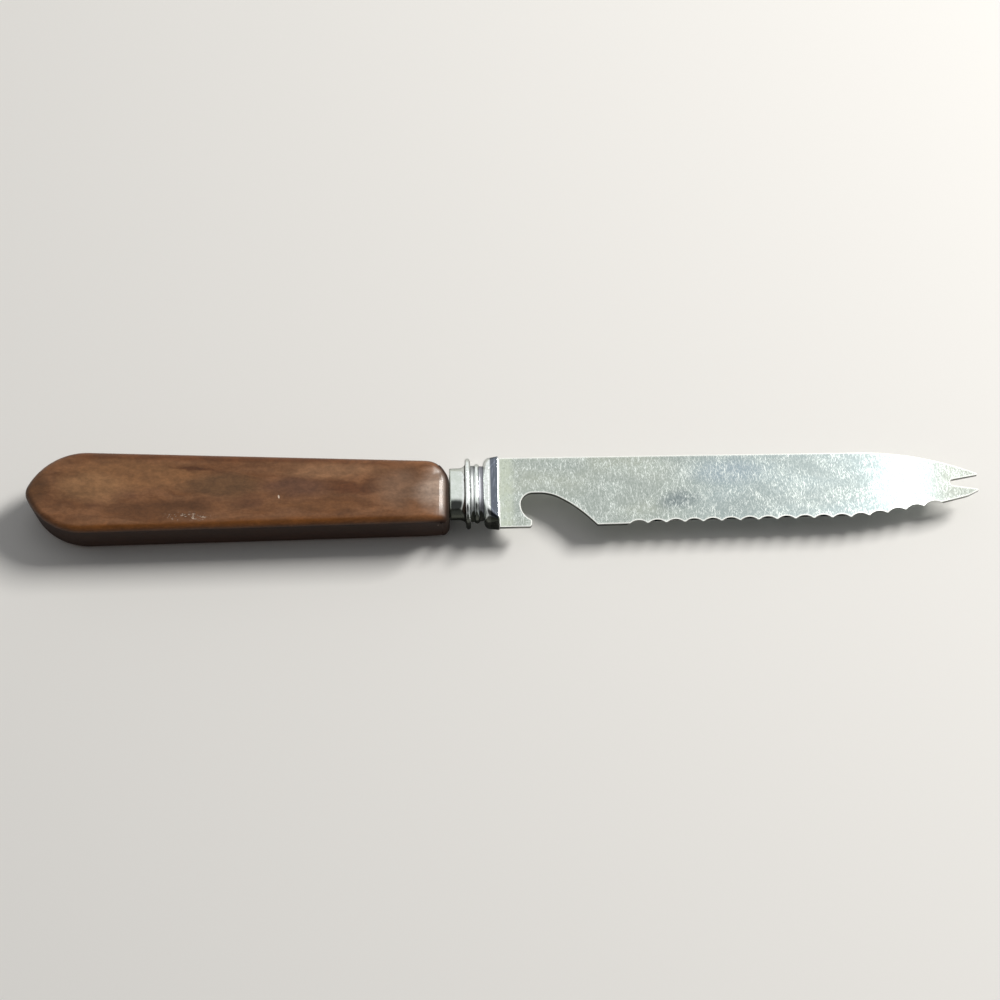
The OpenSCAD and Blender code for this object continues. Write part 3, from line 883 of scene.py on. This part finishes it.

# %% [markdown]
# Chrome plate
# The ferrule is bright plate over a casting. It reflects like a mirror on the crowns of the ring,
# the bead and the bell, and it is dull where a cloth doesn't reach: in the grooves and in the corner
# behind the ring. Along the bell's front a dark slate reflection is painted, with paler streaks in
# it, and the rear edge is painted dark as shade where it meets the handle. Its two sides look nearly
# black on the real knife, as they mirror shade. A pale floor can't be mirrored as black, so a dark
# reflection is painted on them, where the surface turns aside. Metal colour comes from what it
# reflects, so the rest of the finish is in the roughness, the grime and the faint unevenness of the
# casting.

# %% The chrome's grime, and a painted shade and reflection
# start and end along the ferrule and blur in millimetres, share of the tint, dulling, tint
grime_and_painted_bands = [
    # painted shade: the rear edge, where the ferrule meets the handle
    (-0.3, 0.3, 0.2, 0.9, 0.5, rgb(52, 48, 38)),
    (RING_ROOT - 0.12, RING_ROOT + 0.06, 0.15, 0.9, 0.3, rgb(46, 46, 36)),
    (RING_ROOT + RING_W, BEAD_START, 0.15, 0.8, 0.42, rgb(112, 115, 118)),
    (BELL_START - GROOVE_W, BELL_START, 0.15, 0.8, 0.42, rgb(122, 122, 134)),
    # painted reflection: the dark slate band along the bell's front
    (BELL_START + 2.0, FERRULE_L - 0.45, 0.4, 0.9, 0.0, rgb(72, 80, 96)),
]

chrome = Finish("chrome plate")
on_axis = chrome.moved(chrome.mm, blade_place.translation, turn=BLADE_TURN)
along = chrome.split(on_axis)[0]
fleck = chrome.noise(on_axis, 0.7, 4.0, 0.7)
bloom = chrome.noise(on_axis, 2.5, 2.0)
colour = chrome.blend(chrome.soft(fleck, 0.35, 0.7), rgb(236, 240, 238), rgb(214, 220, 214))
rough = chrome.soft(fleck, 0.3, 0.75, 0.05, 0.13)
for start, end, blur, share, dulling, tint in grime_and_painted_bands:
    spot = chrome.band(along, start, end, blur)
    colour = chrome.blend(chrome.math("MULTIPLY", spot, share), colour, tint)
    rough = chrome.math("MULTIPLY_ADD", spot, dulling, rough)
print(f"{len(grime_and_painted_bands)} bands of grime")

# %% The chrome's wear, and the dark reflection painted on its sides
# paler streaks painted into the dark reflection along the bell's front
on_bell = chrome.soft(along, BELL_START + 2.0, BELL_START + 2.4)
streaks_in_reflection = chrome.noise(on_axis, 0.9, 2.0, stretch=(0.35, 3, 1))
streaks_in_reflection = chrome.math("MULTIPLY", chrome.soft(streaks_in_reflection, 0.5, 0.68), on_bell)
colour = chrome.blend(chrome.math("MULTIPLY", streaks_in_reflection, 0.5), colour, rgb(152, 158, 172))
neck = chrome.band(along, 0.0, NECK_L + 0.6, 0.4)
worn = chrome.math("MULTIPLY", neck, chrome.soft(bloom, 0.3, 0.6, 0.35, 0.75))
colour = chrome.blend(worn, colour, rgb(204, 213, 203))

# painted dark reflection: the side towards the knife's edge is darkened further up than the side
# towards its spine
SPINE_SIDE, EDGE_SIDE = 0.7, -1.25
facing = chrome.add("ShaderNodeNewGeometry").outputs["Normal"]
to_spine = chrome.split(facing)[1]
aside = chrome.math("MULTIPLY", to_spine, SPINE_SIDE)
aside = chrome.math("MAXIMUM", aside, chrome.math("MULTIPLY", to_spine, EDGE_SIDE))
side_shade_level = chrome.math("MULTIPLY_ADD", bloom, 0.2, aside)
painted_side_reflection = chrome.soft(side_shade_level, 0.68, 0.78, 0.0, 0.93)
colour = chrome.blend(painted_side_reflection, colour, rgb(50, 52, 43))

chrome.shade("Base Color", colour)
chrome.shade("Metallic", 1.0)
chrome.shade("Specular Tint", (0.5, 0.5, 0.5, 1))
chrome.shade("Roughness", chrome.math("MULTIPLY_ADD", painted_side_reflection, 0.2, rough))
chrome.shade("Normal", chrome.bump(bloom, 0.03, chrome.bump(fleck, 0.0008)))
chrome.dress(ferrule)

# %% [markdown]
# Satin steel
# The blade was polished along its length once, and has since been wiped, scratched and spotted by
# water for decades. Up close that is a dense web of short pale scratches at all angles, more of
# them upright than not, over a grey that drifts between greenish and bluish. The scratches are
# stretched noise at a few angles, each cut at a threshold so that only its crests show, and they
# come thicker in some places than in others. The rims of the sheet get a painted highlight, a
# bright line where the rubbed edge catches the light, and its walls are painted dark as shade.

# %% The steel's colour
steel = Finish("satin steel")
on_axis = steel.moved(steel.mm, blade_place.translation, turn=BLADE_TURN)
along = steel.split(on_axis)[0]
drift = steel.noise(on_axis, 9.0, 2.0, stretch=(3, 1, 1))
toward_tip = steel.soft(along, 45.0, 72.0)
colour = steel.blend(toward_tip, rgb(176, 183, 171), rgb(168, 182, 182))
colour = steel.blend(steel.soft(drift, 0.35, 0.65, 0.0, 0.6), colour, rgb(160, 170, 166))
# centre and half size along and across the blade in millimetres, turn in degrees, edge, share
steel_patches = [
    ((69.0, 4.2), (14.0, 4.6), 0.0, 0.8, 0.60, rgb(158, 174, 184)),
    ((56.5, -3.0), (7.5, 3.6), 8.0, 0.8, 0.85, rgb(124, 136, 138)),
    ((FERRULE_L + 1.0, 0.0), (3.6, 40.0), 0.0, 0.6, 0.70, rgb(205, 213, 193)),
    ((FERRULE_L + 117.0, 0.0), (14.0, 40.0), 0.0, 0.7, 0.80, rgb(178, 181, 168)),
]
colour = steel.paint(colour, on_axis, steel_patches)
print(f"{len(steel_patches)} patches on the blade")

# %% The scratches and the water spots
# turn in degrees, length against width, width in millimetres, strength
scratch_sets = [
    (82, 4.5, 0.30, 1.0),
    (98, 5.5, 0.26, 1.0),
    (58, 6.0, 0.22, 0.9),
    (128, 6.0, 0.22, 0.9),
    (15, 6.5, 0.22, 0.6),
]
scratches = 0.0
for turn, length, size, strength in scratch_sets:
    laid = steel.moved(on_axis, size=(length, 1, 1), turn=radians(turn))
    crest = steel.soft(steel.noise(laid, size, 1.0), 0.57, 0.76, 0.0, strength)
    scratches = steel.math("MAXIMUM", crest, scratches)
past_heel = steel.soft(along, FERRULE_L + 2.0, FERRULE_L + 5.0, 0.4, 1.0)
scratches = steel.math("MULTIPLY", scratches, past_heel)
wiping = steel.noise(on_axis, 3.6, 3.0, 0.55, stretch=(1.3, 1, 1))
scratches = steel.math("MULTIPLY", scratches, steel.soft(wiping, 0.36, 0.64, 0.6, 1.2))
colour = steel.blend(steel.soft(wiping, 0.48, 0.7, 0.0, 0.3), colour, rgb(205, 216, 208))
spots = steel.noise(on_axis, 0.6, 3.0, 0.7)
colour = steel.blend(steel.math("MULTIPLY", scratches, 0.9), colour, rgb(244, 250, 244))
colour = steel.blend(steel.soft(spots, 0.5, 0.72, 0.0, 0.45), colour, rgb(136, 146, 142))
print(f"{len(scratch_sets)} sets of scratches")

# %% The rims painted bright as a glint, and the walls painted dark as shade
# about how far in from the rim the painted glint reaches, in millimetres
GLINT_REACH = 0.6

facing = steel.add("ShaderNodeNewGeometry").outputs["True Normal"]
level = steel.math("ABSOLUTE", steel.split(facing)[2])
# painted highlight: the rims and a thin band inside them are painted near white, a glint on the rubbed
# edge
rim = steel.soft(level, 0.999, 0.99)
rounded = steel.add("ShaderNodeBevel", {"Radius": GLINT_REACH * MM}, samples=6).outputs[0]
rubbed_glint = steel.soft(steel.vector("DOT_PRODUCT", rounded, facing)[1], 0.999, 0.985)
colour = steel.blend(steel.math("MAXIMUM", rim, rubbed_glint), colour, rgb(250, 252, 246))
# painted shade: the walls of the sheet are painted dark
wall = steel.soft(level, 0.45, 0.25)
colour = steel.blend(wall, colour, rgb(56, 57, 50))
steel.shade("Base Color", colour)

# %% The steel's sheen and surface
# the rim painted as a glint scatters light like frost, so it isn't a mirror
frosted = steel.math("SUBTRACT", rim, wall)
steel.shade("Metallic", steel.math("SUBTRACT", 1.0, frosted))
rough = steel.math("MULTIPLY_ADD", scratches, 0.03, steel.soft(spots, 0.3, 0.7, 0.04, 0.08))
rough = steel.math("MULTIPLY_ADD", frosted, 0.3, rough)
steel.shade("Roughness", rough)
wavy = steel.noise(on_axis, 14.0, 1.0, stretch=(2, 1, 1))
normal = steel.bump(wavy, 0.06)
normal = steel.bump(scratches, 0.001, steel.bump(spots, 0.0015, normal))
steel.shade("Normal", normal)
steel.dress(blade)

# %% [markdown]
# Cement
# The cement is hidden in the handle's bore. It gets a plain gritty finish all the same, so that the
# piece is right if someone takes the knife apart.

# %% Cement
cement = Finish("tang cement")
grit = cement.noise(cement.mm, 0.8, 5.0, 0.7)
cement.shade("Base Color", cement.blend(grit, rgb(96, 84, 68), rgb(150, 138, 118)))
cement.shade("Roughness", cement.soft(grit, 0.2, 0.8, 0.8, 0.95))
cement.shade("Normal", cement.bump(grit, 0.15))
cement.dress(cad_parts["tang_cement"])

# %% [markdown]
# Camera and floor
# The knife lies on a plain pale floor. The camera looks down at it from 70 degrees above the
# horizon, about half a metre away, with a lens that just takes in the knife's whole length.

# %% Camera
CAMERA_UP, CAMERA_AWAY = radians(70), 525.0
AIM = Vector((-1.02, -1.0, MID_Z))
# the picture's width, and how many of its pixels one millimetre takes at the knife
FRAME_PX, SCALE_PX = 1000, 4.038
SENSOR_W = 36.0
ROLL = radians(-0.2)

camera_data = bpy.data.cameras.new("camera")
camera_data.sensor_width = SENSOR_W
camera_data.lens = SENSOR_W * SCALE_PX * CAMERA_AWAY / FRAME_PX
camera = bpy.data.objects.new("camera", camera_data)
bpy.context.scene.collection.objects.link(camera)
back = Vector((0, -cos(CAMERA_UP), sin(CAMERA_UP)))
camera.location = (AIM + back * CAMERA_AWAY) * MM
camera.rotation_euler = (
    Matrix.Rotation(pi / 2 - CAMERA_UP, 4, "X") @ Matrix.Rotation(ROLL, 4, "Z")
).to_euler()
bpy.context.scene.camera = camera
bpy.context.scene.view_settings.view_transform = "Standard"
print(f"lens {camera_data.lens:.1f} mm")

# %% Floor
# the floor lies a hair below the handle, so that the two surfaces don't fight
FLOOR_R, FLOOR_STEPS, FLOOR_DROP = 4000, 96, 0.02

floor_mesh = bmesh.new()
bmesh.ops.create_circle(floor_mesh, cap_ends=True, segments=FLOOR_STEPS, radius=FLOOR_R)
floor = finish_piece("floor", floor_mesh, Matrix.Translation((0, 0, -FLOOR_DROP)))
floor_finish = Finish("pale floor")
floor_finish.shade("Base Color", (0.84, 0.83, 0.81, 1))
floor_finish.shade("Roughness", 0.9)
floor_finish.shade("Specular IOR Level", 0.1)
floor_finish.dress(floor)

# %% [markdown]
# Light
# The photographed knife is lit from the far right, above: its near side is dark, its shadow falls
# to the near left, and one stretch of the blade near the point throws the light straight back. One
# lamp, upright as a window, gives the shadow. It stands just where the rounded front end of the
# handle mirrors it as a pale line. A long narrow lamp, higher up, gives the bright stretch on the
# blade. The world fills the rest at a plain level. It is brighter on the far side than on the near
# one, and polished metal sees the near side darken upwards, and a stripe of glow to the right, which
# lets the bright stretch fade in softly. To the camera the world is plain white.

# %% World
# how strongly the near and the far side light the knife
NEAR_LIGHT, FAR_LIGHT = 0.1, 0.38
# how bright metal sees the near side, low and high, and the far side, and the glow on top of that
NEAR_LOW, NEAR_HIGH, FAR_SEEN, GLOW = 0.42, 0.05, 1.0, 0.6
WHITE = 1.0


class Sky(Finish):
    """The same kit, on the world's nodes."""

    def __init__(self, name):
        self.world = bpy.data.worlds.new(name)
        self.world.use_nodes = True
        self.tree = self.world.node_tree
        self.tree.nodes.clear()
        self.out = self.add("ShaderNodeOutputWorld")


studio = Sky("studio")
bpy.context.scene.world = studio.world
towards = studio.add("ShaderNodeTexCoord").outputs["Generated"]
sideways, depth, height = studio.split(towards)
far_side = studio.soft(depth, -0.2, 0.1)
rays = studio.add("ShaderNodeLightPath").outputs
mirrored = studio.math("MAXIMUM", rays["Is Glossy Ray"], rays["Is Transmission Ray"])
soft_light = studio.soft(far_side, 0.0, 1.0, NEAR_LIGHT, FAR_LIGHT)
near_seen = studio.soft(height, 0.55, 0.75, NEAR_LOW, NEAR_HIGH)
seen_light = studio.mix(far_side, near_seen, FAR_SEEN)
glow = studio.soft(sideways, 0.26, 0.195, 0.0, GLOW)
glow = studio.math("MULTIPLY", studio.soft(sideways, 0.09, 0.185), glow)
seen_light = studio.math("MULTIPLY_ADD", glow, far_side, seen_light)
strength = studio.mix(mirrored, soft_light, seen_light)
strength = studio.mix(rays["Is Camera Ray"], strength, WHITE)
sky = studio.add("ShaderNodeBackground", {"Color": (1, 1, 1, 1), "Strength": strength})
studio.put(studio.out.inputs["Surface"], sky.outputs[0])
print(f"{studio.world.name}: {len(studio.tree.nodes)} nodes")


# %% Lamps
def lamp(name, towards, away, size, watts, colour=(1, 1, 1)):
    """An area lamp in a direction from the knife, so many metres away, facing it."""
    data = bpy.data.lights.new(name, "AREA")
    data.shape = "RECTANGLE"
    data.size, data.size_y = size
    data.energy = watts
    data.color = colour
    made = bpy.data.objects.new(name, data)
    bpy.context.scene.collection.objects.link(made)
    direction = Vector(towards).normalized()
    made.location = direction * away
    upright = Vector((0, direction.z, -direction.y)).normalized()
    axes = Matrix((upright.cross(direction), upright, direction)).transposed()
    made.rotation_euler = axes.to_euler()
    print(f"{name}: {size[0]} x {size[1]} m, {watts} W, {away} m away")


lamp("window", (0.646, 0.407, 0.645), 1.2, (0.22, 0.42), 15.2, (1.0, 0.98, 0.94))
lamp("strip", (0.220, 0.335, 0.916), 3.02, (0.07, 1.6), 0.55)
